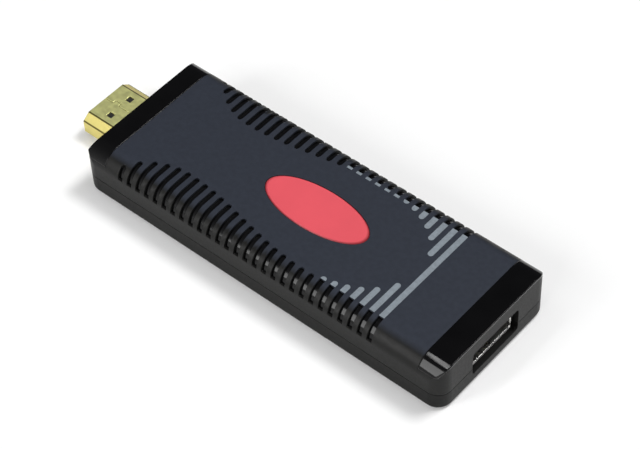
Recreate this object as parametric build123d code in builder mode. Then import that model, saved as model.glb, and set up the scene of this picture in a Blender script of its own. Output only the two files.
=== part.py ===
from build123d import *
import os
from math import cos, pi, sin, sqrt

# A streaming stick: a slotted matt cover over a gloss inner shell, an HDMI plug at one end, a USB socket
# at the other, and a power inlet, a card slot and a reset pin hole along its +Y side.
# Millimetres, +Z up, +X towards the USB end. The origin is under the middle of the whole length.

os.makedirs("parts", exist_ok=True)

# Outside of the stick
body_length = 93.3
body_width = 33.6
body_height = 12.4
corner_radius = 3.3
edge_radius = 4.0
base_radius = 1.2
end_lean = 1.65
parting_height = 4.7

# Mouldings
wall = 1.4
floor = 1.3
skin = 0.5
liner_wall = 0.9
liner_gap = 0.04
seam_gap = 0.08
seam_height = 0.15
seam_depth = 0.3
band_floor = 9.65
liner_foot = 8.3
hdmi_band = 6.5
usb_band = 5.75

# Slots over both long edges, counted from the HDMI end
slot_count = 28
slot_first = 10.66
slot_pitch = 2.417
slot_width = 1.25
slot_low = 8.73
slot_start = 12.9
slot_deepest = 4.5
shallow_slot = 1.85
deepest_slot = 6
last_deep_slot = 20
short_slot_end = 14.75
first_square_slot = 22
slot_end_sides = 6

# Lip, snaps and vents of the bottom cover
lip_gap = 0.1
lip_wall = 0.8
lip_height = 1.2
lip_root = 1.2
snap_depth = 0.35
snap_length = 6.0
snap_rise = 0.7
snap_clearance = 0.06
snap_from_hdmi_end = (10.25, 35.25)
snap_from_usb_end = 14.75
vent_count = 9
vent_pitch = 3.0
vent_width = 1.4
vent_length = 13.0

# Red lens in the top
lens_length = 25.5
lens_width = 10.8
lens_from_hdmi_end = 48.9
lens_clearance = 0.08
lens_proud = 0.08
lens_edge = 0.2
light_pipe_size = 3.4
light_pipe_clearance = 0.1

# Main board and what holds it
board_bottom = 2.0
board_thickness = 1.0
board_margin = 2.5
board_corner = 2.0
boss_size = 3.6
boss_inset = 6.0
boss_from_side = 5.3
screw_radius = 0.8
screw_clearance = 0.1
screw_fit = 0.02
screw_tip = 0.9
screw_head_radius = 1.5
screw_head_height = 0.9
screw_drive_length = 1.5
screw_drive_width = 0.3
screw_recess = 0.5
post_size = 2.2
post_from_usb_end = 9.75
post_row = 9.4
pad_from_hdmi_end = 38.25
pad_from_usb_end = 6.75

# HDMI plug
plug_reach = 10.2
plug_inside = 6.25
plug_half_width = 6.95
plug_top_half = 5.1
plug_top = 6.0
plug_height = 4.45
plug_bevel = 1.4
plug_wall = 0.3
plug_clearance = 0.2
latch_size = 1.45
latch_from_mouth = 4.35
latch_row = 2.9
joint_slit = 0.12
joint_step = 0.85
joint_step_start = 2.2
joint_step_end = 3.8
insulator_recess = 0.5
plug_cavity_width = 11.6
plug_cavity_height = 2.0
plug_cavity_depth = 8.2
hdmi_contact_width = 0.35
hdmi_contact_thickness = 0.2
hdmi_contact_length = 7.4
hdmi_contact_pitch = 1.0
hdmi_upper_count = 10
hdmi_lower_count = 9

# USB-A socket
usb_width = 13.1
usb_height = 5.7
usb_depth = 14.0
usb_recess = 1.25
usb_wall = 0.3
usb_lip = 0.2
usb_corner = 0.7
usb_side_clearance = 0.6
usb_clearance = 0.2
usb_opening_corner = 0.8
usb_tongue_width = 11.1
usb_tongue_thickness = 1.84
usb_tongue_drop = 0.7
usb_tongue_recess = 0.9
usb_block_depth = 4.0
usb_contact_width = 1.0
usb_contact_thickness = 0.25
usb_contact_length = 7.0
usb_contact_rows = (-3.5, -1.0, 1.0, 3.5)

# Micro-USB power inlet
inlet_from_usb_end = 24.75
inlet_top_half = 3.75
inlet_base_half = 2.9
inlet_height = 2.5
inlet_shoulder = 1.1
inlet_depth = 5.2
inlet_recess = 1.0
inlet_wall = 0.25
inlet_clearance = 0.3
inlet_tongue_width = 3.9
inlet_tongue_thickness = 0.6
inlet_tongue_recess = 0.8
inlet_block_depth = 1.2
inlet_contact_count = 5
inlet_contact_pitch = 0.65
inlet_contact_width = 0.3
inlet_contact_thickness = 0.1
inlet_contact_length = 2.6

# Memory card socket
card_from_hdmi_end = 45.25
card_depth = 13.6
card_slot_width = 11.2
card_slot_height = 0.9
card_floor = 0.4
card_rail = 1.2
cage_sheet = 0.2
card_opening_clearance = 0.3
card_contact_count = 8
card_contact_pitch = 1.1
card_contact_width = 0.6
card_contact_length = 3.0
card_contact_thickness = 0.15
card_contact_inset = 9.0

# Reset switch behind its pin hole
reset_from_hdmi_end = 20.25
switch_width = 4.2
switch_depth = 2.6
switch_height = 1.9
switch_inset = 0.4
switch_front_wall = 0.5
flange_width = 2.2
flange_height = 1.1
flange_thickness = 0.4
stem_width = 1.3
stem_height = 0.8
stem_reach = 0.5
plunger_travel = 0.25
plunger_clearance = 0.1
plunger_rest_gap = 0.05
pin_hole_radius = 0.9

# Chips and small parts on the board, placed from the end and the side that they lie nearest to
processor_from_hdmi_end = 22.25
processor_size = 14.0
processor_height = 1.2
pad_thickness = 0.5
sink_length = 20.0
sink_width = 18.0
sink_base = 1.0
sink_roof_gap = 0.7
sink_fin_thickness = 0.9
sink_fin_count = 8
chip_margin = 0.6
memory_size = (9.0, 10.6, 1.0)
memory_from_hdmi_end = 38.25
flash_size = (9.0, 10.6, 1.0)
flash_from_usb_end = 32.25
wifi_size = (10.0, 10.0, 1.8)
wifi_from_usb_end = 21.25
wifi_edge = 0.25
antenna_size = (6.0, 1.6, 1.0)
antenna_from_usb_end = 13.0
power_chip_size = (5.0, 5.0, 0.9)
power_chip_from_usb_end = 25.25
power_chip_row = 3.5
inductor_size = (4.0, 4.0, 2.0)
inductor_corner = 0.7
inductor_socket_gap = 0.5
inductor_from_usb_end = (18.25, 13.55)
inductor_rows = (10.2, 10.2, 4.0)
capacitor_size = (0.8, 1.6, 0.8)
capacitor_count = 6
capacitor_pitch = 2.6
capacitor_from_hdmi_end = 9.25
crystal_size = (3.2, 2.5, 0.8)
crystal_corner = 0.4
crystal_from_hdmi_end = 34.75
crystal_rows = (7.5, 2.0)
led_size = (1.6, 0.8, 0.6)
led_row = -1.5
receiver_size = (3.6, 5.6, 5.0)
receiver_lens_radius = 1.5
receiver_lip_gap = 0.3
receiver_from_side = 5.6

# Places worked out from the sizes
overall_length = body_length + plug_reach
usb_end = overall_length / 2
plug_tip = -overall_length / 2
hdmi_end = usb_end - body_length
body_middle = (usb_end + hdmi_end) / 2
side = body_width / 2
end_height = body_height - parting_height
end_curve_radius = (end_height**2 + end_lean**2) / (2 * end_lean)
board_top = board_bottom + board_thickness
board_inset = board_margin
board_half = side - board_inset
lip_inset = wall + lip_gap
plug_rear = hdmi_end + plug_inside
plug_middle = plug_top - plug_height / 2
usb_mouth = usb_end - usb_recess
usb_middle = board_top + usb_height / 2
inlet_mouth = side - inlet_recess
card_mouth = board_half
card_width = card_slot_width + 2 * card_rail
card_roof = board_top + card_floor + card_slot_height
switch_front = board_half - switch_inset
switch_middle = board_top + switch_height / 2
lens_x = hdmi_end + lens_from_hdmi_end
liner_underside = body_height - skin - liner_wall
pipe_hole = light_pipe_size + 2 * light_pipe_clearance
boss_x = hdmi_end + boss_inset
boss_row = side - boss_from_side
pad_x = (hdmi_end + pad_from_hdmi_end, usb_end - pad_from_usb_end)
post_x = usb_end - post_from_usb_end
snap_x = (*(hdmi_end + place for place in snap_from_hdmi_end), usb_end - snap_from_usb_end)
inlet_x = usb_end - inlet_from_usb_end
card_x = hdmi_end + card_from_hdmi_end
reset_x = hdmi_end + reset_from_hdmi_end
processor_x = hdmi_end + processor_from_hdmi_end
sink_bottom = board_top + processor_height + pad_thickness
sink_fin_height = liner_underside - sink_roof_gap - sink_bottom - sink_base
inductor_x = (
    *(usb_end - place for place in inductor_from_usb_end),
    usb_mouth - usb_depth - inductor_socket_gap - inductor_size[0] / 2,
)
receiver_x = usb_end - lip_inset - lip_wall - receiver_lip_gap - receiver_lens_radius - receiver_size[0] / 2
on_board = (Align.CENTER, Align.CENTER, Align.MIN)


def rounded_block(inset, low, high):
    """The stick's plan outline, drawn in by inset, as a block between two heights."""
    with BuildPart() as block:
        with BuildSketch(Plane.XY.offset(low)):
            with Locations((body_middle, 0)):
                RectangleRounded(
                    body_length - 2 * inset,
                    body_width - 2 * inset,
                    max(corner_radius - inset, board_corner),
                )
        extrude(amount=high - low)
    return block.part


def ring(outer_inset, inner_inset, low, high):
    """A wall that follows the stick's plan outline between two insets and two heights."""
    with BuildPart() as loop:
        add(rounded_block(outer_inset, low, high))
        add(rounded_block(inner_inset, low, high), mode=Mode.SUBTRACT)
    return loop.part


def arch(inset, start, end, low):
    """A bar under the stick's arched top, drawn in by inset, from x = start to end and above low."""
    with BuildPart() as bar:
        with BuildSketch(Plane.YZ.offset(start)) as section:
            with Locations((0, body_height - inset)):
                Rectangle(body_width - 2 * inset, body_height, align=(Align.CENTER, Align.MAX))
            fillet(section.vertices().group_by(Axis.Y)[-1], edge_radius - inset)
        extrude(amount=end - start)
        with Locations(((start + end) / 2, 0, low)):
            Box(
                end - start,
                body_width,
                2 * body_height,
                align=(Align.CENTER, Align.CENTER, Align.MAX),
                mode=Mode.SUBTRACT,
            )
    return bar.part


def behind_end(inset):
    """All that lies behind the curve on which the HDMI end leans back above the parting line."""
    with BuildPart() as space:
        with Locations((hdmi_end + end_curve_radius, 0, parting_height)):
            Cylinder(end_curve_radius - inset, 2 * body_width, rotation=(90, 0, 0))
            Box(
                body_length,
                2 * body_width,
                4 * body_height,
                align=(Align.MIN, Align.CENTER, Align.CENTER),
            )
    return space.part


def slot_x(number):
    """Where a slot lies along the stick."""
    return hdmi_end + slot_first + (number - 1) * slot_pitch


def slot_inner_end(number):
    """How far from the middle line a slot's inner end is: the slots reach in most near the HDMI end."""
    if number == 1:
        return short_slot_end
    if number <= deepest_slot:
        share = sin(pi / 2 * (number - shallow_slot) / (deepest_slot - shallow_slot)) ** 0.7
    elif number <= last_deep_slot:
        share = (1 + cos(pi * (number - deepest_slot) / (last_deep_slot - deepest_slot))) / 2
    else:
        share = 0
    return slot_start - slot_deepest * share


def plug_section(plane, grow):
    """The HDMI plug's outline on a plane, narrow side up, grown or drawn in all round."""
    with BuildSketch(plane) as outline:
        with BuildLine():
            Polyline(
                (-plug_half_width, plug_top - plug_height),
                (plug_half_width, plug_top - plug_height),
                (plug_half_width, plug_top - plug_bevel),
                (plug_top_half, plug_top),
                (-plug_top_half, plug_top),
                (-plug_half_width, plug_top - plug_bevel),
                close=True,
            )
        make_face()
        if grow:
            offset(amount=grow, kind=Kind.INTERSECTION, mode=Mode.REPLACE)
    return outline.sketch


def inlet_section(plane, grow):
    """The micro-USB inlet's outline on a plane, wide side up, grown or drawn in all round."""
    with BuildSketch(plane) as outline:
        with BuildLine():
            Polyline(
                (-inlet_base_half, board_top),
                (inlet_base_half, board_top),
                (inlet_top_half, board_top + inlet_shoulder),
                (inlet_top_half, board_top + inlet_height),
                (-inlet_top_half, board_top + inlet_height),
                (-inlet_top_half, board_top + inlet_shoulder),
                close=True,
            )
        make_face()
        if grow:
            offset(amount=grow, kind=Kind.INTERSECTION, mode=Mode.REPLACE)
    return outline.sketch


def side_plane(y):
    """An upright plane facing +Y at this y, centred on the power inlet."""
    return Plane(origin=(inlet_x, y, 0), x_dir=(-1, 0, 0), z_dir=(0, 1, 0))


def snap_ridges(depth):
    """Wedge ridges along both long faces of the lip, as deep as this."""
    with BuildPart() as ridges:
        for direction in (-1, 1):
            for place in snap_x:
                with Locations((place, direction * (side - lip_inset), parting_height + snap_rise)):
                    Box(snap_length, depth * sqrt(2), depth * sqrt(2), rotation=(45, 0, 0))
    return ridges.part


# Openings through both covers
with BuildPart() as ports:
    extrude(plug_section(Plane.YZ.offset(hdmi_end - wall), plug_clearance), amount=wall + plug_inside)
    with BuildSketch(Plane.YZ.offset(usb_mouth - usb_depth)):
        with Locations((0, usb_middle)):
            RectangleRounded(
                usb_width + 2 * usb_side_clearance, usb_height + 2 * usb_clearance, usb_opening_corner
            )
    extrude(amount=usb_depth + usb_recess + wall)
    extrude(inlet_section(side_plane(inlet_mouth - inlet_depth), inlet_clearance), amount=inlet_depth + wall)
    with Locations((card_x, card_mouth, board_top + card_floor + card_slot_height / 2)):
        Box(
            card_slot_width + 2 * card_opening_clearance,
            board_inset + wall,
            card_slot_height + 2 * card_opening_clearance,
            align=(Align.CENTER, Align.MIN, Align.CENTER),
        )
    with BuildSketch(Plane.XZ.offset(-switch_front)):
        with Locations((reset_x, switch_middle)):
            Circle(pin_hole_radius)
    extrude(amount=-(board_inset + switch_inset + wall))

# Slots of one side and their mirror image
with BuildPart() as slots:
    slot_outer_end = side + slot_width
    with BuildSketch(Plane.XY.offset(parting_height)):
        for number in range(1, slot_count + 1):
            end_radius = slot_width / 2 if number < first_square_slot else 0
            end_middle = slot_inner_end(number) + end_radius
            with Locations((slot_x(number), -slot_outer_end)):
                Rectangle(slot_width, slot_outer_end - end_middle, align=(Align.CENTER, Align.MIN))
            if end_radius:
                with Locations((slot_x(number), -end_middle)):
                    RegularPolygon(end_radius, slot_end_sides)
    extrude(amount=body_height)
    with Locations((body_middle, 0, slot_low)):
        Box(
            body_length,
            2 * slot_outer_end,
            body_height,
            align=(Align.CENTER, Align.CENTER, Align.MAX),
            mode=Mode.SUBTRACT,
        )
    mirror(about=Plane.XZ)

# The two cut-away windows of the cover, which the gloss bands fill
with BuildPart() as windows:
    for start, end in ((hdmi_end - wall, hdmi_end + hdmi_band), (usb_end - usb_band, usb_end + wall)):
        with Locations(((start + end) / 2, 0, band_floor)):
            Box(end - start, body_width + 2 * wall, body_height, align=on_board)
    add(arch(skin, hdmi_end - wall, usb_end + wall, 0), mode=Mode.SUBTRACT)

# Room for the gloss liner between the end walls, as far up as the skin
with BuildPart() as upper_room:
    with BuildSketch(Plane.XY.offset(liner_foot)):
        with Locations((body_middle, 0)):
            RectangleRounded(body_length - 2 * wall, body_width - 2 * skin, corner_radius - wall / 2)
    extrude(amount=body_height - skin - liner_foot)
    add(arch(skin, hdmi_end, usb_end, liner_foot), mode=Mode.INTERSECT)
    add(behind_end(wall), mode=Mode.INTERSECT)

with BuildPart() as lower_room:
    add(rounded_block(wall, parting_height, liner_foot))
    add(behind_end(wall), mode=Mode.INTERSECT)

cover_form = rounded_block(0, parting_height, body_height)
cover_arch = arch(0, hdmi_end, usb_end, parting_height)

with BuildPart() as top_cover:
    add(cover_form)
    add(cover_arch, mode=Mode.INTERSECT)
    add(behind_end(0), mode=Mode.INTERSECT)
    add(lower_room.part, mode=Mode.SUBTRACT)
    add(upper_room.part, mode=Mode.SUBTRACT)
    add(windows.part, mode=Mode.SUBTRACT)
    add(slots.part, mode=Mode.SUBTRACT)
    with BuildSketch(Plane.XY.offset(liner_underside)):
        with Locations((lens_x, 0)):
            Ellipse(lens_length / 2 + lens_clearance, lens_width / 2 + lens_clearance)
    extrude(amount=body_height, mode=Mode.SUBTRACT)
    add(ports.part, mode=Mode.SUBTRACT)
    add(snap_ridges(snap_depth + snap_clearance), mode=Mode.SUBTRACT)

# Gloss inner shell: a saddle under the skin whose two ends rise to fill the windows
saddle_start = hdmi_end + wall + seam_gap
saddle_end = usb_end - wall - seam_gap
with BuildPart() as saddle_plan:
    with BuildSketch(Plane.XY.offset(liner_foot + seam_gap)):
        with Locations((body_middle, 0)):
            RectangleRounded(
                saddle_end - saddle_start,
                body_width - 2 * (skin + liner_gap),
                corner_radius - wall / 2 - seam_gap,
            )
    extrude(amount=body_height)
    add(behind_end(wall + seam_gap), mode=Mode.INTERSECT)
saddle_top = arch(skin + liner_gap, saddle_start, saddle_end, liner_foot + seam_gap)
saddle_under = arch(skin + liner_wall, saddle_start - wall, saddle_end + wall, 0)
band_outline = rounded_block(0, band_floor + seam_gap, body_height)
band_arch = arch(0, hdmi_end, usb_end, band_floor + seam_gap)
lip_under = arch(skin - liner_gap, hdmi_end - wall, usb_end + wall, 0)

with BuildPart() as bands:
    add(band_outline)
    add(band_arch, mode=Mode.INTERSECT)
    add(behind_end(0), mode=Mode.INTERSECT)
    with Locations((body_middle + (hdmi_band - usb_band) / 2, 0, 0)):
        Box(
            body_length - hdmi_band - usb_band + 2 * seam_gap,
            body_width,
            2 * body_height,
            mode=Mode.SUBTRACT,
        )
    add(lip_under, mode=Mode.SUBTRACT)

with BuildPart() as band_roots:
    add(band_outline)
    add(band_arch, mode=Mode.INTERSECT)
    add(saddle_plan.part, mode=Mode.INTERSECT)
    with Locations((body_middle + (hdmi_band - usb_band) / 2, 0, 0)):
        Box(
            body_length - hdmi_band - usb_band + 2 * seam_gap,
            body_width,
            2 * body_height,
            mode=Mode.SUBTRACT,
        )

with BuildPart() as gloss_liner:
    add(saddle_top)
    add(saddle_plan.part, mode=Mode.INTERSECT)
    add(band_roots.part)
    add(saddle_under, mode=Mode.SUBTRACT)
    add(bands.part)
    with Locations((lens_x, 0, liner_underside)):
        Box(pipe_hole, pipe_hole, body_height, mode=Mode.SUBTRACT)
    with Locations((post_x, post_row, board_top), (post_x, -post_row, board_top)):
        Box(post_size, post_size, liner_underside + liner_wall / 2 - board_top, align=on_board)

# Bottom cover: a tray with a lip that stands up inside the top cover
bottom_room = rounded_block(wall, floor, parting_height)
lip_base = ring(wall / 2, lip_inset + lip_wall, parting_height - lip_root, parting_height)
lip = ring(lip_inset, lip_inset + lip_wall, parting_height, parting_height + lip_height)
seam = ring(0, seam_depth, parting_height - seam_height, parting_height)

with BuildPart() as bottom_cover:
    add(rounded_block(0, 0, parting_height))
    fillet(bottom_cover.edges().group_by(Axis.Z)[0], base_radius)
    add(bottom_room, mode=Mode.SUBTRACT)
    add(lip_base)
    add(lip)
    add(seam, mode=Mode.SUBTRACT)
    add(snap_ridges(snap_depth))
    with Locations(*[(x, y, floor / 2) for x in (boss_x, *pad_x) for y in (-boss_row, boss_row)]):
        Box(boss_size, boss_size, board_bottom - floor / 2, align=on_board)
    with Locations((boss_x, boss_row, screw_recess), (boss_x, -boss_row, screw_recess)):
        Cylinder(screw_radius + screw_fit, body_height, align=on_board, mode=Mode.SUBTRACT)
    with BuildSketch():
        with Locations((processor_x, 0)):
            with GridLocations(vent_pitch, 0, vent_count, 1):
                Rectangle(vent_width, vent_length)
    extrude(amount=floor, mode=Mode.SUBTRACT)
    add(ports.part, mode=Mode.SUBTRACT)

with BuildPart() as red_lens:
    with BuildSketch(Plane.XY.offset(body_height - skin - liner_gap)):
        with Locations((lens_x, 0)):
            Ellipse(lens_length / 2, lens_width / 2)
    extrude(amount=skin + liner_gap + lens_proud)
    chamfer(red_lens.edges().group_by(Axis.Z)[-1], lens_edge)
    with Locations((lens_x, 0, liner_underside)):
        Box(light_pipe_size, light_pipe_size, liner_wall, align=on_board)

# Main board
with BuildPart() as main_board:
    with Locations((body_middle, 0, board_bottom)):
        Box(body_length - 2 * board_inset, 2 * board_half, board_thickness, align=on_board)
    chamfer(main_board.edges().filter_by(Axis.Z), board_corner)
    with Locations((hdmi_end, 0, board_bottom)):
        Box(
            2 * plug_inside,
            2 * (plug_half_width + plug_clearance),
            2 * board_thickness,
            mode=Mode.SUBTRACT,
        )
    with Locations((boss_x, boss_row, board_bottom), (boss_x, -boss_row, board_bottom)):
        Cylinder(screw_radius + screw_clearance, 4 * board_thickness, mode=Mode.SUBTRACT)

with BuildPart() as board_screws:
    with Locations((boss_x, boss_row, screw_tip), (boss_x, -boss_row, screw_tip)):
        Cylinder(screw_radius, board_top - screw_tip, align=on_board)
    with Locations((boss_x, boss_row, board_top), (boss_x, -boss_row, board_top)):
        Cylinder(screw_head_radius, screw_head_height, align=on_board)
    with Locations(
        (boss_x, boss_row, board_top + screw_head_height / 2),
        (boss_x, -boss_row, board_top + screw_head_height / 2),
    ):
        Box(screw_drive_length, screw_drive_width, screw_head_height, align=on_board, mode=Mode.SUBTRACT)

# HDMI plug
with BuildPart() as hdmi_shell:
    extrude(plug_section(Plane.YZ.offset(plug_tip), 0), amount=plug_rear - plug_tip)
    extrude(
        plug_section(Plane.YZ.offset(plug_tip), -plug_wall), amount=plug_rear - plug_tip, mode=Mode.SUBTRACT
    )
    with Locations((plug_tip + latch_from_mouth, 0, plug_middle)):
        with GridLocations(0, 2 * latch_row, 1, 2):
            Box(latch_size, latch_size, 2 * plug_height, mode=Mode.SUBTRACT)
    with BuildSketch(Plane.XY.offset(plug_middle)):
        with BuildLine():
            joint_path = Polyline(
                (plug_tip - joint_slit, 0),
                (plug_tip + joint_step_start, 0),
                (plug_tip + joint_step_start, joint_step),
                (plug_tip + joint_step_end, joint_step),
                (plug_tip + joint_step_end, 0),
                (plug_rear + joint_slit, 0),
            )
            offset(joint_path, amount=joint_slit / 2, side=Side.BOTH)
        make_face()
    extrude(amount=plug_height, mode=Mode.SUBTRACT)

with BuildPart() as hdmi_insulator:
    insulator_front = plug_tip + insulator_recess
    extrude(
        plug_section(Plane.YZ.offset(insulator_front), -plug_wall), amount=plug_rear - insulator_front
    )
    with Locations((insulator_front, 0, plug_middle)):
        Box(2 * plug_cavity_depth, plug_cavity_width, plug_cavity_height, mode=Mode.SUBTRACT)

with BuildPart() as hdmi_contacts:
    contact_rear = insulator_front + plug_cavity_depth
    contact_middle = contact_rear - hdmi_contact_length / 2
    cavity_half = plug_cavity_height / 2
    upper_middle = plug_middle + cavity_half - hdmi_contact_thickness / 2
    lower_middle = plug_middle - cavity_half + hdmi_contact_thickness / 2
    with Locations((contact_middle, 0, upper_middle)):
        with GridLocations(0, hdmi_contact_pitch, 1, hdmi_upper_count):
            Box(hdmi_contact_length, hdmi_contact_width, hdmi_contact_thickness)
    with Locations((contact_middle, 0, lower_middle)):
        with GridLocations(0, hdmi_contact_pitch, 1, hdmi_lower_count):
            Box(hdmi_contact_length, hdmi_contact_width, hdmi_contact_thickness)

# USB-A socket
with BuildPart() as usb_shell:
    with BuildSketch(Plane.YZ.offset(usb_mouth - usb_depth)):
        with Locations((0, usb_middle)):
            RectangleRounded(usb_width, usb_height, usb_corner)
            RectangleRounded(
                usb_width - 2 * usb_wall,
                usb_height - 2 * usb_wall,
                usb_corner - usb_wall,
                mode=Mode.SUBTRACT,
            )
    extrude(amount=usb_depth)
    chamfer(usb_shell.faces().sort_by(Axis.X)[-1].inner_wires()[0].edges(), usb_lip)

with BuildPart() as usb_tongue:
    tongue_top = board_top + usb_height - usb_wall - usb_tongue_drop
    tongue_length = usb_depth - usb_tongue_recess
    with BuildSketch(Plane.YZ.offset(usb_mouth - usb_depth)) as usb_tongue_block:
        with Locations((0, usb_middle)):
            Rectangle(usb_width - 2 * usb_wall, usb_height - 2 * usb_wall)
        chamfer(usb_tongue_block.vertices(), usb_corner - usb_wall)
    extrude(amount=usb_block_depth)
    with Locations((usb_mouth - usb_depth, 0, tongue_top)):
        Box(
            tongue_length,
            usb_tongue_width,
            usb_tongue_thickness,
            align=(Align.MIN, Align.CENTER, Align.MAX),
        )

with BuildPart() as usb_contacts:
    with Locations(
        *[
            (usb_mouth - usb_depth + usb_block_depth, row, tongue_top - usb_tongue_thickness)
            for row in usb_contact_rows
        ]
    ):
        Box(
            usb_contact_length,
            usb_contact_width,
            usb_contact_thickness,
            align=(Align.MIN, Align.CENTER, Align.MAX),
        )

# Micro-USB inlet
inlet_back = inlet_mouth - inlet_depth
with BuildPart() as micro_usb_shell:
    extrude(inlet_section(side_plane(inlet_back), 0), amount=inlet_depth)
    extrude(inlet_section(side_plane(inlet_back), -inlet_wall), amount=inlet_depth, mode=Mode.SUBTRACT)

with BuildPart() as micro_usb_tongue:
    extrude(inlet_section(side_plane(inlet_back), -inlet_wall), amount=inlet_block_depth)
    inlet_tongue_top = board_top + inlet_height - inlet_shoulder
    with Locations((inlet_x, inlet_back, inlet_tongue_top)):
        Box(
            inlet_tongue_width,
            inlet_depth - inlet_tongue_recess,
            inlet_tongue_thickness,
            align=(Align.CENTER, Align.MIN, Align.MAX),
        )

with BuildPart() as micro_usb_contacts:
    with Locations((inlet_x, inlet_back + inlet_block_depth, inlet_tongue_top - inlet_tongue_thickness)):
        with GridLocations(inlet_contact_pitch, 0, inlet_contact_count, 1):
            Box(
                inlet_contact_width,
                inlet_contact_length,
                inlet_contact_thickness,
                align=(Align.CENTER, Align.MIN, Align.MAX),
            )

# Memory card socket: a plastic tray on the board under a folded sheet cage
with BuildPart() as card_tray:
    with Locations((card_x, card_mouth, board_top)):
        Box(card_width, card_depth, card_floor + card_slot_height, align=(Align.CENTER, Align.MAX, Align.MIN))
    with Locations((card_x, card_mouth, board_top + card_floor)):
        Box(
            card_slot_width,
            card_depth - card_rail,
            card_slot_height,
            align=(Align.CENTER, Align.MAX, Align.MIN),
            mode=Mode.SUBTRACT,
        )

with BuildPart() as card_cage:
    with Locations((card_x, card_mouth, board_top)):
        Box(
            card_width + 2 * cage_sheet,
            card_depth,
            card_roof - board_top + cage_sheet,
            align=(Align.CENTER, Align.MAX, Align.MIN),
        )
        Box(
            card_width,
            card_depth,
            card_roof - board_top,
            align=(Align.CENTER, Align.MAX, Align.MIN),
            mode=Mode.SUBTRACT,
        )

with BuildPart() as card_contacts:
    with Locations((card_x, card_mouth - card_contact_inset, board_top + card_floor)):
        with GridLocations(card_contact_pitch, 0, card_contact_count, 1):
            Box(card_contact_width, card_contact_length, card_contact_thickness, align=on_board)

# Reset switch: its plunger points at the pin hole and slides in when a pin presses it
with BuildPart() as reset_switch:
    with Locations((reset_x, switch_front, board_top)):
        Box(switch_width, switch_depth, switch_height, align=(Align.CENTER, Align.MAX, Align.MIN))
    chamber_front = switch_front - switch_front_wall
    with Locations((reset_x, chamber_front, switch_middle)):
        Box(
            flange_width + 2 * plunger_clearance,
            flange_thickness + plunger_travel + 2 * plunger_clearance + plunger_rest_gap,
            flange_height + 2 * plunger_clearance,
            align=(Align.CENTER, Align.MAX, Align.CENTER),
            mode=Mode.SUBTRACT,
        )
    with Locations((reset_x, switch_front, switch_middle)):
        Box(
            stem_width + 2 * plunger_clearance,
            2 * switch_front_wall,
            stem_height + 2 * plunger_clearance,
            mode=Mode.SUBTRACT,
        )

with BuildPart() as reset_plunger:
    flange_front = chamber_front - plunger_rest_gap
    with Locations((reset_x, flange_front, switch_middle)):
        Box(
            flange_width,
            flange_thickness,
            flange_height,
            align=(Align.CENTER, Align.MAX, Align.CENTER),
        )
        Box(
            stem_width,
            plunger_rest_gap + switch_front_wall + stem_reach,
            stem_height,
            align=(Align.CENTER, Align.MIN, Align.CENTER),
        )

# Processor with its thermal pad and finned heat sink
with BuildPart() as processor:
    with Locations((processor_x, 0, board_top)):
        Box(processor_size, processor_size, processor_height, align=on_board)

with BuildPart() as thermal_pad:
    with Locations((processor_x, 0, board_top + processor_height)):
        Box(processor_size, processor_size, pad_thickness, align=on_board)

with BuildPart() as heat_sink:
    fin_pitch = (sink_width - sink_fin_thickness) / (sink_fin_count - 1)
    with Locations((processor_x, 0, sink_bottom)):
        Box(sink_length, sink_width, sink_base, align=on_board)
    with Locations((processor_x, 0, sink_bottom + sink_base)):
        with GridLocations(0, fin_pitch, 1, sink_fin_count):
            Box(sink_length, sink_fin_thickness, sink_fin_height, align=on_board)

# Chips and small parts
with BuildPart() as memory_chip:
    with Locations(
        (hdmi_end + memory_from_hdmi_end, memory_size[1] / 2 + chip_margin - board_half, board_top)
    ):
        Box(*memory_size, align=on_board)

with BuildPart() as flash_chip:
    with Locations((usb_end - flash_from_usb_end, flash_size[1] / 2 + chip_margin - board_half, board_top)):
        Box(*flash_size, align=on_board)

with BuildPart() as wifi_module:
    with Locations((usb_end - wifi_from_usb_end, wifi_size[1] / 2 + chip_margin - board_half, board_top)):
        Box(*wifi_size, align=on_board)
    chamfer(wifi_module.edges().group_by(Axis.Z)[-1], wifi_edge)

with BuildPart() as wifi_antenna:
    with Locations(
        (usb_end - antenna_from_usb_end, antenna_size[1] / 2 + chip_margin - board_half, board_top)
    ):
        Box(*antenna_size, align=on_board)

with BuildPart() as power_chip:
    with Locations((usb_end - power_chip_from_usb_end, power_chip_row, board_top)):
        Box(*power_chip_size, align=on_board)

with BuildPart() as power_inductors:
    with Locations(*[(x, y, board_top) for x, y in zip(inductor_x, inductor_rows)]):
        Box(*inductor_size, align=on_board)
    chamfer(power_inductors.edges().filter_by(Axis.Z), inductor_corner)

with BuildPart() as capacitors:
    with Locations((hdmi_end + capacitor_from_hdmi_end, 0, board_top)):
        with GridLocations(0, capacitor_pitch, 1, capacitor_count):
            Box(*capacitor_size, align=on_board)

with BuildPart() as crystals:
    with Locations(*[(hdmi_end + crystal_from_hdmi_end, y, board_top) for y in crystal_rows]):
        Box(*crystal_size, align=on_board)
    chamfer(crystals.edges().filter_by(Axis.Z), crystal_corner)

with BuildPart() as status_led:
    with Locations((lens_x, led_row, board_top)):
        Box(*led_size, align=on_board)

with BuildPart() as ir_receiver:
    with Locations((receiver_x, receiver_from_side - side, board_top)):
        Box(*receiver_size, align=on_board)
    with Locations((receiver_x + receiver_size[0] / 2, receiver_from_side - side, board_top)):
        Cylinder(receiver_lens_radius, receiver_size[2], align=on_board)

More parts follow.
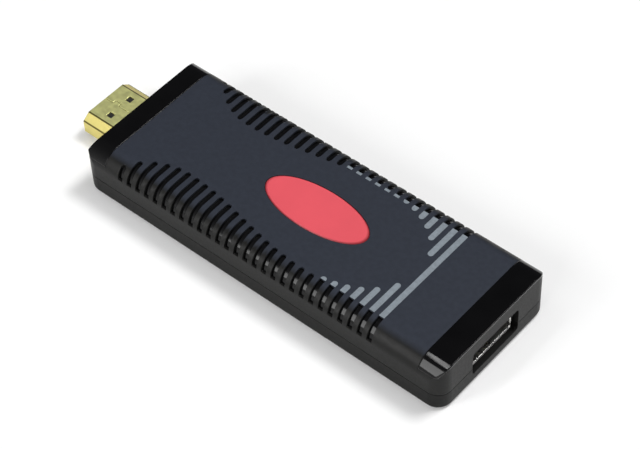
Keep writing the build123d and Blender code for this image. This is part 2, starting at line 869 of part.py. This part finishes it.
pieces = {
    "top_cover": top_cover,
    "gloss_liner": gloss_liner,
    "bottom_cover": bottom_cover,
    "red_lens": red_lens,
    "main_board": main_board,
    "board_screws": board_screws,
    "hdmi_shell": hdmi_shell,
    "hdmi_insulator": hdmi_insulator,
    "hdmi_contacts": hdmi_contacts,
    "usb_shell": usb_shell,
    "usb_tongue": usb_tongue,
    "usb_contacts": usb_contacts,
    "micro_usb_shell": micro_usb_shell,
    "micro_usb_tongue": micro_usb_tongue,
    "micro_usb_contacts": micro_usb_contacts,
    "card_tray": card_tray,
    "card_cage": card_cage,
    "card_contacts": card_contacts,
    "reset_switch": reset_switch,
    "reset_plunger": reset_plunger,
    "processor": processor,
    "thermal_pad": thermal_pad,
    "heat_sink": heat_sink,
    "memory_chip": memory_chip,
    "flash_chip": flash_chip,
    "wifi_module": wifi_module,
    "wifi_antenna": wifi_antenna,
    "power_chip": power_chip,
    "power_inductors": power_inductors,
    "capacitors": capacitors,
    "crystals": crystals,
    "status_led": status_led,
    "ir_receiver": ir_receiver,
}
for name, piece in pieces.items():
    piece.part.label = name
    export_step(piece.part, f"parts/{name}.step")
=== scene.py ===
import math

import bmesh
import bpy
from bpy.props import FloatProperty, FloatVectorProperty, IntProperty, PointerProperty
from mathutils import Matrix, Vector


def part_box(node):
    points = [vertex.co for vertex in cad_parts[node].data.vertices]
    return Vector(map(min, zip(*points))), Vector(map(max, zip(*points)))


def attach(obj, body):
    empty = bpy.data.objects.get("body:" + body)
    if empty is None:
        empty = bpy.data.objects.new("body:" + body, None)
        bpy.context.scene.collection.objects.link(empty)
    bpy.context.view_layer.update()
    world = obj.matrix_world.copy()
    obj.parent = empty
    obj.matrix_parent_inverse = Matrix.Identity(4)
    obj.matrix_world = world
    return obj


bl_info = {
    "name": "Streaming stick",
    "version": (1, 0, 0),
    "blender": (4, 5, 0),
    "location": "3D View > Sidebar > Stick",
    "description": "Dresses the streaming stick and sets up its studio",
    "category": "Object",
}

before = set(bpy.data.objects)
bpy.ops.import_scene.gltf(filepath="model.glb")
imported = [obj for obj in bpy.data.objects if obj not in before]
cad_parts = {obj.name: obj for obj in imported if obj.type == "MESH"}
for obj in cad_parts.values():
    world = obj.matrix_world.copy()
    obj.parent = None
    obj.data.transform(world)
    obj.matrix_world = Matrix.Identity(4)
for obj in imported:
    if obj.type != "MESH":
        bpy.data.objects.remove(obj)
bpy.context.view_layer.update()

MM = 0.001
STICK = "stick"

# Less than any real distance in the stick, in metres
TINY = 1e-6

COVER_LOW, COVER_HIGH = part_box("top_cover")
LENS_LOW, LENS_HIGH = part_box("red_lens")
LENS_MIDDLE = (LENS_LOW + LENS_HIGH) / 2
LENS_HALF = (LENS_HIGH - LENS_LOW) / 2

# Heights of noise that are stretched to its full range, with more or less of it held at both ends
CLIPPED = (0.35, 0.65)
SMOOTH = (0.3, 0.7)

# How many times smaller the lumps of roughness are than those of colour
FINER = 2.3

# How much of half a bar's width the rounding of its end takes; at 1 its two arcs would meet
BAR_ROUNDING = 0.98

# Heights on the cover's arch between which the look of its walls, darker with painted shade of the sides,
# gives way to that of its top
ARCH_FADE = (11.7 * MM, 12.3 * MM)

# What every colour setting has in common
COLOUR = {"subtype": "COLOR", "size": 3, "min": 0.0, "max": 1.0}


# Materials


def new_material(name):
    """An empty material with a Principled shader; returns the material, its node tree and the shader."""
    material = bpy.data.materials.new(name)
    material.use_nodes = True
    tree = material.node_tree
    return material, tree, tree.nodes["Principled BSDF"]


def add_node(tree, kind, links=None, **values):
    """Adds a node, sets its own options and links its inputs, given by name, to other nodes' sockets."""
    node = tree.nodes.new(kind)
    for key, value in values.items():
        setattr(node, key, value)
    for socket, source in (links or {}).items():
        tree.links.new(source, node.inputs[socket])
    return node


def noise(tree, place, scale, detail=3.0, roughness=0.5):
    """Noise of this many lumps per metre at a place; returns its height."""
    node = add_node(tree, "ShaderNodeTexNoise", {"Vector": place})
    node.inputs["Scale"].default_value = scale
    node.inputs["Detail"].default_value = detail
    node.inputs["Roughness"].default_value = roughness
    return node.outputs["Fac"]


def fade(tree, value, start, end, low=0.0, high=1.0):
    """Maps a value from start..end to low..high, held at both ends."""
    node = add_node(tree, "ShaderNodeMapRange", {"Value": value})
    node.inputs["From Min"].default_value = start
    node.inputs["From Max"].default_value = end
    node.inputs["To Min"].default_value = low
    node.inputs["To Max"].default_value = high
    return node.outputs["Result"]


def blend_colours(tree, amount, first, second):
    """Goes from the first colour to the second as the amount goes from 0 to 1."""
    node = add_node(tree, "ShaderNodeMix", data_type="RGBA")
    tree.links.new(amount, node.inputs["Factor"])
    for socket, colour in ((node.inputs[6], first), (node.inputs[7], second)):
        if isinstance(colour, bpy.types.NodeSocket):
            tree.links.new(colour, socket)
        else:
            socket.default_value = (*colour, 1.0)
    return node.outputs[2]


def arithmetic(tree, operation, first, second):
    """A Math node over two sockets or numbers."""
    node = add_node(tree, "ShaderNodeMath", operation=operation)
    for socket, value in zip(node.inputs, (first, second)):
        if isinstance(value, bpy.types.NodeSocket):
            tree.links.new(value, socket)
        else:
            socket.default_value = value
    return node.outputs["Value"]


def object_place(tree):
    """The point of the surface in the object's own coordinates."""
    return add_node(tree, "ShaderNodeTexCoord").outputs["Object"]


def coordinate(tree, place, axis):
    """The X, Y or Z of a point or direction."""
    return add_node(tree, "ShaderNodeSeparateXYZ", {"Vector": place}).outputs[axis]


def uneven_colour(tree, lumps, colour, spread):
    """A colour that is up to spread darker or lighter from lump to lump."""
    dark = [channel * (1 - spread) for channel in colour]
    light = [min(1.0, channel * (1 + spread)) for channel in colour]
    return blend_colours(tree, lumps, dark, light)


def fold_line(tree, place, axis, distance, width):
    """1 along the two lines where a sheet is folded this far from the middle on an axis, 0 off them."""
    from_middle = arithmetic(tree, "ABSOLUTE", coordinate(tree, place, axis), 0.0)
    from_fold = arithmetic(tree, "ABSOLUTE", arithmetic(tree, "SUBTRACT", from_middle, distance), 0.0)
    full, gone = width / 4, width / 2
    return fade(tree, from_fold, full, gone, 1.0, 0.0)


def finish(
    name,
    colour,
    spread=0.12,
    mottle=400.0,
    roughness=0.5,
    roughness_spread=0.06,
    grain=5000.0,
    grain_depth=0.0,
    metallic=0.0,
    specular=0.5,
    edge=0.0,
    below=None,
):
    """A moulded, plated or machined finish: slightly uneven colour and roughness, grain and softened edges.

    mottle and grain are lumps per metre, grain_depth and edge are lengths. below, if given, is the colour and
    roughness of the walls and the two heights between which they give way to those of the top; the walls'
    darker colour is painted shade of the sides, on the cover together with the walls' own tone.
    """
    material, tree, shader = new_material(name)
    place = object_place(tree)
    lumps = fade(tree, noise(tree, place, mottle), *CLIPPED)
    shade = uneven_colour(tree, lumps, colour, spread)
    fine_lumps = noise(tree, place, mottle * FINER, detail=4.0)
    uneven = fade(tree, fine_lumps, *SMOOTH, -roughness_spread, roughness_spread)
    # The walls below the given heights get a darker colour: painted shade of the sides, on the cover together
    # with the walls' own tone.
    if below:
        wall_colour_and_shade, wall_roughness, low, high = below
        height = coordinate(tree, place, "Z")
        walls = uneven_colour(tree, lumps, wall_colour_and_shade, spread)
        shade = blend_colours(tree, fade(tree, height, low, high), walls, shade)
        roughness = fade(tree, height, low, high, wall_roughness, roughness)
    tree.links.new(shade, shader.inputs["Base Color"])
    tree.links.new(arithmetic(tree, "ADD", uneven, roughness), shader.inputs["Roughness"])
    shader.inputs["Metallic"].default_value = metallic
    shader.inputs["Specular IOR Level"].default_value = specular
    if grain_depth:
        bump = add_node(tree, "ShaderNodeBump", {"Height": noise(tree, place, grain, detail=2.0)})
        bump.inputs["Distance"].default_value = grain_depth
        if edge:
            soft_edge = add_node(tree, "ShaderNodeBevel", samples=8)
            soft_edge.inputs["Radius"].default_value = edge
            tree.links.new(soft_edge.outputs["Normal"], bump.inputs["Normal"])
        tree.links.new(bump.outputs["Normal"], shader.inputs["Normal"])
    return material


def paint(material, *nodes):
    """Puts a material on CAD nodes."""
    for name in nodes:
        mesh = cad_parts[name].data
        mesh.materials.clear()
        mesh.materials.append(material)


# New pieces


def new_piece(name, shape, material):
    """Makes an object from a bmesh, which stays where it was modelled and rides on the stick."""
    bmesh.ops.recalc_face_normals(shape, faces=shape.faces)
    mesh = bpy.data.meshes.new(name)
    shape.to_mesh(mesh)
    shape.free()
    piece = bpy.data.objects.new(name, mesh)
    bpy.context.scene.collection.objects.link(piece)
    mesh.materials.append(material)
    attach(piece, STICK)


def add_block(shape, low, high):
    """Adds a box between two corners to a bmesh; returns its vertices."""
    verts = bmesh.ops.create_cube(shape, size=1.0)["verts"]
    bmesh.ops.scale(shape, vec=Vector(high) - Vector(low), verts=verts)
    bmesh.ops.translate(shape, vec=(Vector(high) + Vector(low)) / 2, verts=verts)
    return verts


def upright_edges(verts, y):
    """The vertical edges of a block that stand at this y."""
    edges = {edge for vert in verts for edge in vert.link_edges}
    upright = [edge for edge in edges if abs(edge.verts[0].co.z - edge.verts[1].co.z) > TINY]
    return [edge for edge in upright if abs(edge.verts[0].co.y - y) < TINY]


# Settings


class StickCoverSettings(bpy.types.PropertyGroup):
    top_colour: FloatVectorProperty(
        name="Top colour", description="Matt blue-grey of the slotted cover",
        default=(0.0265, 0.0310, 0.0430), **COLOUR,
    )
    # Painted shade: the walls' darker colour is partly their own tone and partly painted shade of the sides;
    # they share the top's grain.
    wall_colour_and_shade: FloatVectorProperty(
        name="Wall colour", description="Darker, coarser walls of the slotted cover",
        default=(0.0090, 0.0090, 0.0085), **COLOUR,
    )
    # As dark as the cover's walls: the tray's own near black together with painted shade of the sides.
    base_colour: FloatVectorProperty(
        name="Base colour", description="Near black of the tray below the parting line",
        default=(0.0085, 0.0085, 0.0080), **COLOUR,
    )
    roughness: FloatProperty(
        name="Roughness", description="How matt the top is",
        min=0.0, max=1.0, default=0.52,
    )
    wall_roughness: FloatProperty(
        name="Wall roughness", description="How matt the walls are",
        min=0.0, max=1.0, default=0.40,
    )
    grain_depth: FloatProperty(
        name="Grain depth", description="Depth of the moulded grain",
        unit="LENGTH", min=0.0, default=0.006 * MM,
    )
    gloss_colour: FloatVectorProperty(
        name="Gloss colour", description="Black of the shiny inner shell",
        default=(0.003, 0.003, 0.0032), **COLOUR,
    )


class StickLensSettings(bpy.types.PropertyGroup):
    colour: FloatVectorProperty(
        name="Lens colour", description="Red of the window in the top",
        default=(0.74, 0.094, 0.119), **COLOUR,
    )
    rim_colour: FloatVectorProperty(
        name="Rim colour", description="Dark red round the lens' edge",
        default=(0.22, 0.012, 0.018), **COLOUR,
    )
    rim_width: FloatProperty(
        name="Rim width", description="How wide the dark rim is",
        unit="LENGTH", min=0.0, default=0.3 * MM,
    )


class StickPrintSettings(bpy.types.PropertyGroup):
    colour: FloatVectorProperty(
        name="Ink colour", description="Silver of the printed bars",
        default=(0.205, 0.238, 0.270), **COLOUR,
    )
    bar_width: FloatProperty(
        name="Bar width", description="Width of a bar, the same as a slot",
        unit="LENGTH", default=1.25 * MM,
    )
    thickness: FloatProperty(
        name="Ink thickness", description="How far the ink stands on the cover",
        unit="LENGTH", default=0.02 * MM,
    )
    outer_row: FloatProperty(
        name="Outer row", description="Where the bars meet the slots, from the middle line",
        unit="LENGTH", default=12.9 * MM,
    )
    first_slot: FloatProperty(
        name="First slot", description="Place of slot 1 from the plug's end of the cover",
        unit="LENGTH", default=10.66 * MM,
    )
    pitch: FloatProperty(
        name="Pitch", description="From one slot or bar to the next",
        unit="LENGTH", default=2.417 * MM,
    )
    near_first: IntProperty(
        name="Near first", description="Slot that carries the first bar, near side",
        default=22,
    )
    far_first: IntProperty(
        name="Far first", description="Slot that carries the first bar, far side",
        default=16,
    )
    last: IntProperty(
        name="Last", description="Slot whose bar crosses the whole top",
        default=28,
    )
    fan_start: FloatProperty(
        name="Fan start", description="Where the bars begin to grow towards the middle",
        unit="LENGTH", default=58.6 * MM,
    )
    fan_length: FloatProperty(
        name="Fan length", description="Over what length they grow to the middle",
        unit="LENGTH", default=16.0 * MM,
    )
    fan_row: FloatProperty(
        name="Fan row", description="Where the shortest bars' inner ends are",
        unit="LENGTH", default=12.3 * MM,
    )


class StickMetalSettings(bpy.types.PropertyGroup):
    gold: FloatVectorProperty(
        name="Gold", description="Plating of the plug's top and the contacts",
        default=(0.95, 0.95, 0.42), **COLOUR,
    )
    # Painted shade: the plug's sides are the same plating as its top, painted darker and warmer for the shade
    # they take; their roughness is the top's.
    shaded_side_gold: FloatVectorProperty(
        name="Side gold", description="Duller, warmer plating of the plug's sides",
        default=(0.72, 0.63, 0.22), **COLOUR,
    )
    top_starts: FloatVectorProperty(
        name="Top starts", description="Heights between which the plug's top takes over from its sides",
        unit="LENGTH", size=2, default=(5.85 * MM, 5.95 * MM),
    )
    nickel: FloatVectorProperty(
        name="Nickel", description="Plating of the sockets' shells",
        default=(0.80, 0.79, 0.76), **COLOUR,
    )
    plug_roughness: FloatProperty(
        name="Plug roughness", description="How dull the plug's plating is",
        min=0.0, max=1.0, default=0.48,
    )
    # Painted shade: a darker colour along the folds of the plug's sheet that stands in for the shade at its
    # bends.
    fold_shade_colour: FloatVectorProperty(
        name="Fold colour", description="Tarnish along the folds of the plug's sheet",
        default=(0.12, 0.10, 0.03), **COLOUR,
    )
    # Width of the painted shade along the folds.
    fold_width: FloatProperty(
        name="Fold width", description="How wide the tarnish is",
        unit="LENGTH", min=0.0, default=0.45 * MM,
    )
    top_fold: FloatProperty(
        name="Top fold", description="Where the top meets the bevels, from the middle line",
        unit="LENGTH", default=5.1 * MM,
    )
    side_fold: FloatProperty(
        name="Side fold", description="Height at which the bevels meet the sides",
        unit="LENGTH", default=4.6 * MM,
    )


CAMERA_TURN = tuple(math.radians(angle) for angle in (40.83386, 1.82892, 40.34662))


class StickStageSettings(bpy.types.PropertyGroup):
    lens: FloatProperty(
        name="Lens", description="Focal length of the camera in mm",
        default=116.907,
    )
    camera_place: FloatVectorProperty(
        name="Camera place", description="Where the camera stands",
        subtype="TRANSLATION", unit="LENGTH", size=3, default=(0.190277, -0.199179, 0.320312),
    )
    camera_turn: FloatVectorProperty(
        name="Camera turn", description="How the camera is turned",
        subtype="EULER", unit="ROTATION", size=3, default=CAMERA_TURN,
    )
    floor_colour: FloatProperty(
        name="Floor", description="Lightness of the floor",
        min=0.0, max=1.0, default=0.81,
    )
    floor_lift: FloatProperty(
        name="Floor lift", description="White that the camera sees on top of the lit floor",
        default=0.18,
    )


# Operators


class StickCovers(bpy.types.Operator):
    """Matt grained plastic on the slotted cover and the tray, gloss black on the inner shell; the walls and
    the tray are darker, their own tone with painted shade of the sides.
    """

    bl_idname = "stick.covers"
    bl_label = "Covers"

    def execute(self, context):
        settings = context.scene.stick_covers
        top = finish(
            "matt_cover", settings.top_colour, spread=0.06, mottle=900.0, roughness=settings.roughness,
            grain=5200.0, grain_depth=settings.grain_depth, specular=0.15, edge=0.12 * MM,
            # The walls below the arch get the darker colour: their own tone together with painted shade of
            # the sides.
            below=(settings.wall_colour_and_shade, settings.wall_roughness, *ARCH_FADE),
        )
        base = finish(
            # The tray's near black is its own tone together with painted shade of the sides.
            "matt_base", settings.base_colour, spread=0.08, mottle=900.0, roughness=settings.wall_roughness,
            grain=5200.0, grain_depth=settings.grain_depth, specular=0.12, edge=0.15 * MM,
        )
        gloss = finish(
            "gloss_black", settings.gloss_colour, spread=0.2, mottle=120.0, roughness=0.09,
            roughness_spread=0.02, grain=900.0, grain_depth=0.0004 * MM, specular=0.22, edge=0.3 * MM,
        )
        paint(top, "top_cover")
        paint(base, "bottom_cover")
        paint(gloss, "gloss_liner")
        return {"FINISHED"}


class StickRedLens(bpy.types.Operator):
    """Satin red lens with a darker rim where its edge turns down."""

    bl_idname = "stick.red_lens"
    bl_label = "Red lens"

    def execute(self, context):
        settings = context.scene.stick_lens
        material, tree, shader = new_material("red_gloss")
        place = object_place(tree)
        rim_start = 1 - settings.rim_width / LENS_HALF.y
        rim = fade(tree, self.outward(tree, place), rim_start, 1.0)
        lumps = fade(tree, noise(tree, place, scale=90.0), *SMOOTH)
        body = uneven_colour(tree, lumps, settings.colour, spread=0.04)
        tree.links.new(blend_colours(tree, rim, body, settings.rim_colour), shader.inputs["Base Color"])
        dullness = fade(tree, noise(tree, place, scale=700.0), *SMOOTH, low=0.34, high=0.42)
        tree.links.new(dullness, shader.inputs["Roughness"])
        shader.inputs["Specular IOR Level"].default_value = 0.3
        paint(material, "red_lens")
        return {"FINISHED"}

    def outward(self, tree, place):
        """How far out a point of the lens lies: 0 in its middle, 1 all along its edge."""
        squares = []
        for axis, middle, half in zip("XY", LENS_MIDDLE, LENS_HALF):
            off = arithmetic(tree, "SUBTRACT", coordinate(tree, place, axis), middle)
            share = arithmetic(tree, "DIVIDE", off, half)
            squares.append(arithmetic(tree, "MULTIPLY", share, share))
        return arithmetic(tree, "SQRT", arithmetic(tree, "ADD", *squares), 0.0)


class StickPrint(bpy.types.Operator):
    """Thin silver bars printed on the flat top, each in line with a slot."""

    bl_idname = "stick.silver_print"
    bl_label = "Silver print"

    def execute(self, context):
        settings = context.scene.stick_print
        ink = finish(
            "silver_ink", settings.colour, spread=0.10, mottle=1500.0, roughness=0.5, grain=6000.0,
            grain_depth=0.003 * MM, specular=0.5,
        )
        shape = bmesh.new()
        half = settings.bar_width / 2
        for side, first in ((-1, settings.near_first), (1, settings.far_first)):
            for number in range(first, settings.last):
                inner = side * self.inner_row(settings, number)
                outer = side * settings.outer_row
                verts = self.add_bar(shape, settings, number, *sorted((inner, outer)))
                if abs(outer - inner) > half:
                    bmesh.ops.bevel(
                        shape, geom=upright_edges(verts, inner), offset=half * BAR_ROUNDING, segments=6,
                        affect="EDGES", profile=0.5, material=-1,
                    )
        self.add_bar(shape, settings, settings.last, -settings.outer_row, settings.outer_row)
        new_piece("silver_bars", shape, ink)
        return {"FINISHED"}

    def slot_place(self, settings, number):
        """How far a slot is from the plug's end of the cover."""
        return settings.first_slot + (number - 1) * settings.pitch

    def inner_row(self, settings, number):
        """How far from the middle line the bar of a slot ends."""
        share = (self.slot_place(settings, number) - settings.fan_start) / settings.fan_length
        return settings.fan_row * math.sqrt(1 - min(1.0, max(0.0, share)) ** 2)

    def add_bar(self, shape, settings, number, low, high):
        """Adds the bar in line with a slot, from low to high across the top; returns its vertices."""
        x = COVER_LOW.x + self.slot_place(settings, number)
        half = settings.bar_width / 2
        top = COVER_HIGH.z
        return add_block(shape, (x - half, low, top), (x + half, high, top + settings.thickness))


class StickConnectors(bpy.types.Operator):
    """Gold plug, nickel sockets, black insulators and gold contacts, with painted shade on the plug's sides
    and along its folds.
    """

    bl_idname = "stick.connectors"
    bl_label = "Connectors"

    def execute(self, context):
        settings = context.scene.stick_metal
        gold = finish(
            "gold_plate", settings.gold, spread=0.05, mottle=500.0, roughness=settings.plug_roughness,
            roughness_spread=0.05, grain=2500.0, grain_depth=0.002 * MM, metallic=1.0, edge=0.15 * MM,
            # The plug's sides get the darker copy of the plating below these heights: painted shade.
            below=(settings.shaded_side_gold, settings.plug_roughness, *settings.top_starts),
        )
        # Painted shade along the folds of the plug's sheet.
        self.paint_fold_shade(gold.node_tree, settings)
        contact = finish(
            "gold_contact", settings.gold, spread=0.05, mottle=900.0, roughness=0.25, grain=3000.0,
            grain_depth=0.001 * MM, metallic=1.0,
        )
        nickel = finish(
            "nickel_shell", settings.nickel, spread=0.06, mottle=600.0, roughness=0.3, grain=2500.0,
            grain_depth=0.002 * MM, metallic=1.0, edge=0.1 * MM,
        )
        insulator = finish(
            "black_insulator", (0.018, 0.018, 0.019), spread=0.15, mottle=700.0, roughness=0.45,
            grain=6000.0, grain_depth=0.003 * MM,
        )
        paint(gold, "hdmi_shell")
        paint(contact, "hdmi_contacts", "usb_contacts", "micro_usb_contacts", "card_contacts")
        paint(nickel, "usb_shell", "micro_usb_shell", "card_cage")
        paint(insulator, "hdmi_insulator", "usb_tongue", "micro_usb_tongue", "card_tray")
        return {"FINISHED"}

    def paint_fold_shade(self, tree, settings):
        """Paints shade along the folds of the plug's sheet: the plating is darkened there to stand in for the
        shade at the bends.
        """
        base = tree.nodes["Principled BSDF"].inputs["Base Color"]
        place = object_place(tree)
        folds = arithmetic(
            tree, "MAXIMUM",
            fold_line(tree, place, "Y", settings.top_fold, settings.fold_width),
            fold_line(tree, place, "Z", settings.side_fold, settings.fold_width),
        )
        tree.links.new(blend_colours(tree, folds, base.links[0].from_socket, settings.fold_shade_colour), base)


CHIPS = ("processor", "memory_chip", "flash_chip", "power_chip")


class StickElectronics(bpy.types.Operator):
    """Solder mask, chips, heat sink, screws and the small parts inside."""

    bl_idname = "stick.electronics"
    bl_label = "Electronics"

    def execute(self, context):
        # Colour, roughness, share of metal and the nodes
        looks = {
            "board_green": ((0.015, 0.10, 0.045), 0.35, 0.0, ("main_board",)),
            "steel_screw": ((0.50, 0.50, 0.50), 0.3, 1.0, ("board_screws",)),
            "chip_black": ((0.022, 0.022, 0.024), 0.6, 0.0, CHIPS),
            "thermal_rubber": ((0.42, 0.47, 0.58), 0.7, 0.0, ("thermal_pad",)),
            "sink_aluminium": ((0.66, 0.66, 0.68), 0.4, 1.0, ("heat_sink",)),
            "shield_can": ((0.58, 0.58, 0.56), 0.35, 1.0, ("wifi_module", "crystals")),
            "antenna_ceramic": ((0.78, 0.78, 0.72), 0.5, 0.0, ("wifi_antenna",)),
            "inductor_grey": ((0.10, 0.10, 0.10), 0.6, 0.0, ("power_inductors",)),
            "capacitor_tan": ((0.48, 0.34, 0.20), 0.45, 0.0, ("capacitors",)),
            "led_white": ((0.82, 0.80, 0.66), 0.25, 0.0, ("status_led",)),
            "receiver_dark": ((0.02, 0.008, 0.01), 0.15, 0.0, ("ir_receiver",)),
            "switch_body": ((0.04, 0.04, 0.04), 0.5, 0.0, ("reset_switch",)),
            "switch_plunger": ((0.72, 0.70, 0.62), 0.45, 0.0, ("reset_plunger",)),
        }
        for name, (colour, roughness, metallic, nodes) in looks.items():
            material = finish(
                name, colour, mottle=700.0, roughness=roughness, grain=4000.0, grain_depth=0.003 * MM,
                metallic=metallic,
            )
            paint(material, *nodes)
        return {"FINISHED"}


MIDDLE = (0.0, 0.0, 0.0)

# Name, place, what it is aimed at, size and brightness
LAMPS = (
    ("key", (0.28, 0.45, 1.00), MIDDLE, (0.35, 0.32), 22.0),
    ("overhead", (0.20, 0.10, 1.00), MIDDLE, (0.40, 0.40), 3.0),
    ("fill", (0.10, -0.85, 0.55), MIDDLE, (0.40, 0.35), 4.0),
    ("window", (-0.40, -1.02, 0.47), MIDDLE, (0.30, 0.90), 7.0),
    ("strip", (-0.081, -0.065, 0.34), (-0.081, -0.065, 0.0), (0.012, 0.15), 16.0),
)


class StickStage(bpy.types.Operator):
    """Pale floor, soft lamps, the surround and the camera."""

    bl_idname = "stick.stage"
    bl_label = "Stage"

    def execute(self, context):
        settings = context.scene.stick_stage
        self.add_floor(settings)
        self.add_surround(context.scene)
        for lamp in LAMPS:
            self.add_lamp(*lamp)
        camera = bpy.data.objects.new("camera", bpy.data.cameras.new("camera"))
        camera.data.lens = settings.lens
        camera.data.clip_start = 0.01
        camera.location = settings.camera_place
        camera.rotation_euler = settings.camera_turn
        context.scene.collection.objects.link(camera)
        context.scene.camera = camera
        context.scene.view_settings.view_transform = "Standard"
        return {"FINISHED"}

    def seen_as_white(self, tree):
        """1 for rays from the camera, off gloss and through glass; 0 for light that falls on things."""
        path = add_node(tree, "ShaderNodeLightPath")
        direct = arithmetic(tree, "MAXIMUM", path.outputs["Is Camera Ray"], path.outputs["Is Glossy Ray"])
        return arithmetic(tree, "MAXIMUM", direct, path.outputs["Is Transmission Ray"])

    def add_floor(self, settings):
        """A wide floor under the stick, a little brighter to the camera than its light makes it."""
        shape = bmesh.new()
        bmesh.ops.create_grid(shape, x_segments=1, y_segments=1, size=4.0)
        mesh = bpy.data.meshes.new("floor")
        shape.to_mesh(mesh)
        shape.free()
        floor = bpy.data.objects.new("floor", mesh)
        bpy.context.scene.collection.objects.link(floor)
        material, tree, shader = new_material("floor_paper")
        shader.inputs["Base Color"].default_value = (settings.floor_colour,) * 3 + (1.0,)
        shader.inputs["Roughness"].default_value = 0.9
        shader.inputs["Specular IOR Level"].default_value = 0.0
        shader.inputs["Emission Color"].default_value = (1.0, 1.0, 1.0, 1.0)
        lift = arithmetic(tree, "MULTIPLY", self.seen_as_white(tree), settings.floor_lift)
        tree.links.new(lift, shader.inputs["Emission Strength"])
        mesh.materials.append(material)

    def add_surround(self, scene):
        """A world that camera and gloss see white at the horizon, dark grey overhead and behind the stick."""
        world = bpy.data.worlds.new("surround")
        scene.world = world
        world.use_nodes = True
        tree = world.node_tree
        direction = add_node(tree, "ShaderNodeTexCoord").outputs["Generated"]
        height = coordinate(tree, direction, "Z")
        lit_low, lit_high = (0.15, 0.15, 0.15), (0.12, 0.12, 0.12)
        lit = blend_colours(tree, fade(tree, height, start=0.05, end=0.45), lit_low, lit_high)
        horizon, zenith, behind = (0.90, 0.90, 0.90), (0.12, 0.12, 0.13), (0.08, 0.08, 0.09)
        front = blend_colours(tree, fade(tree, height, start=0.0, end=0.9), horizon, zenith)
        depth = coordinate(tree, direction, "Y")
        seen = blend_colours(tree, fade(tree, depth, start=-0.1, end=0.45), front, behind)
        colour = blend_colours(tree, self.seen_as_white(tree), lit, seen)
        tree.links.new(colour, tree.nodes["Background"].inputs["Color"])

    def add_lamp(self, name, place, aim, size, brightness):
        """A soft box aimed at a point, as bright to look at as brightness."""
        lamp = bpy.data.lights.new(name, "AREA")
        lamp.shape = "RECTANGLE"
        lamp.size, lamp.size_y = size
        lamp.energy = brightness * math.pi * size[0] * size[1]
        holder = bpy.data.objects.new(name, lamp)
        holder.location = place
        holder.rotation_euler = (Vector(aim) - Vector(place)).to_track_quat("-Z", "Y").to_euler()
        bpy.context.scene.collection.objects.link(holder)


class StickPanel(bpy.types.Panel):
    """Settings and steps of the streaming stick."""

    bl_idname = "VIEW3D_PT_stick"
    bl_label = "Streaming stick"
    bl_space_type = "VIEW_3D"
    bl_region_type = "UI"
    bl_category = "Stick"

    def draw(self, context):
        for title, owner, operator in STEPS:
            box = self.layout.box()
            box.label(text=title)
            if owner:
                settings = getattr(context.scene, owner)
                for key in settings.bl_rna.properties.keys():
                    if key not in {"rna_type", "name"}:
                        box.prop(settings, key)
            box.operator(operator)


# Panel and registration


SETTINGS = {
    "stick_covers": StickCoverSettings,
    "stick_lens": StickLensSettings,
    "stick_print": StickPrintSettings,
    "stick_metal": StickMetalSettings,
    "stick_stage": StickStageSettings,
}
STEPS = (
    ("Covers", "stick_covers", "stick.covers"),
    ("Red lens", "stick_lens", "stick.red_lens"),
    ("Silver print", "stick_print", "stick.silver_print"),
    ("Connectors", "stick_metal", "stick.connectors"),
    ("Electronics", None, "stick.electronics"),
    ("Stage", "stick_stage", "stick.stage"),
)
CLASSES = (
    *SETTINGS.values(),
    StickCovers,
    StickRedLens,
    StickPrint,
    StickConnectors,
    StickElectronics,
    StickStage,
    StickPanel,
)


def register():
    for cls in CLASSES:
        bpy.utils.register_class(cls)
    for name, cls in SETTINGS.items():
        setattr(bpy.types.Scene, name, PointerProperty(type=cls))


def unregister():
    for name in SETTINGS:
        delattr(bpy.types.Scene, name)
    for cls in reversed(CLASSES):
        bpy.utils.unregister_class(cls)


def main():
    register()
    bpy.ops.stick.covers()
    bpy.ops.stick.red_lens()
    bpy.ops.stick.silver_print()
    bpy.ops.stick.connectors()
    bpy.ops.stick.electronics()
    bpy.ops.stick.stage()


if __name__ == "__main__":
    main()
